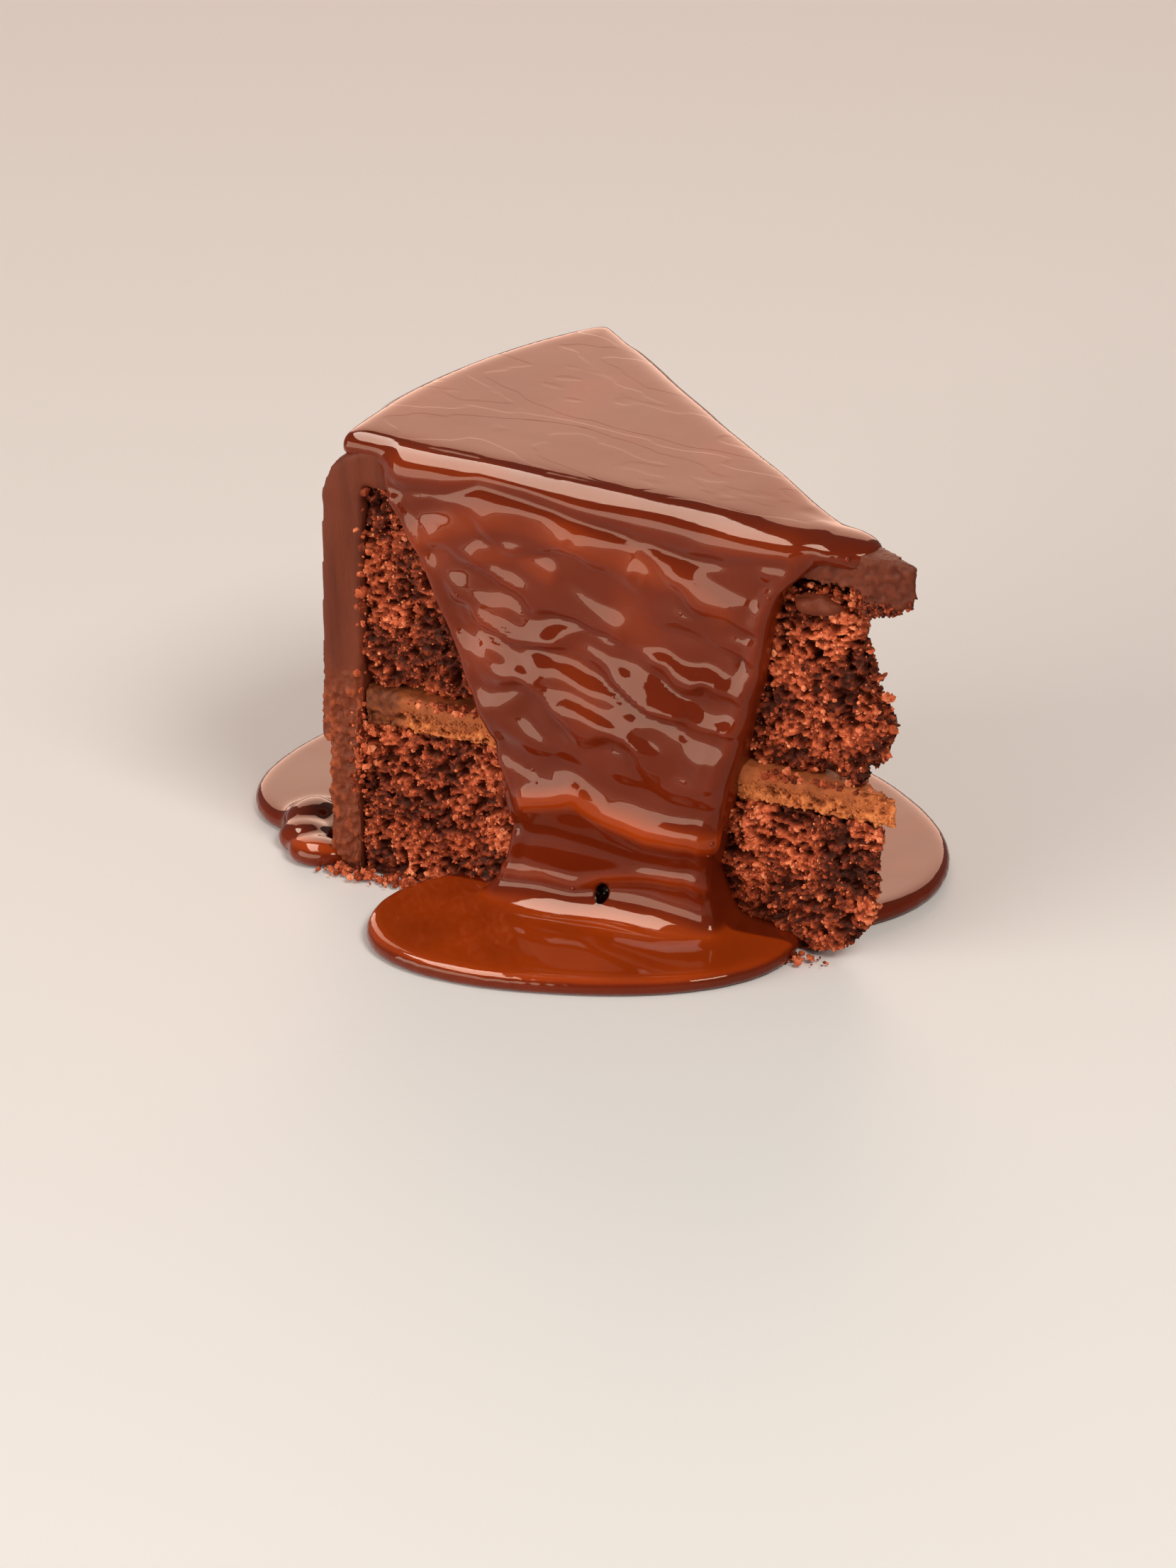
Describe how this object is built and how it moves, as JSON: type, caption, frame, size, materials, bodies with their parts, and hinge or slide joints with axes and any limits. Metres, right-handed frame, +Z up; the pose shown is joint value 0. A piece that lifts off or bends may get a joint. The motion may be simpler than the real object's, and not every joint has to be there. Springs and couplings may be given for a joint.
{
  "type": "slice of chocolate cake",
  "caption": "Wedge of tall layered chocolate cake with frosting, under poured sauce that runs down its sides and pools at its foot.",
  "frame": {"origin": "middle of the whole slice's footprint, pools of sauce included, on the surface it stands on", "axes": "+Z up, -Y out of the front cut face, +X from the outside of the cake towards the point of the slice"},
  "size_m": [0.1664, 0.1156, 0.0977],
  "materials": {
    "crumb": "matte",
    "filling": "matte",
    "frosting": "satin",
    "sauce": "gloss"
  },
  "bodies": {
    "root": {"sponge_lower": "crumb", "filling": "filling", "sponge_upper": "crumb", "frosting": "frosting", "sauce": "sauce"}
  },
  "joints": []
}
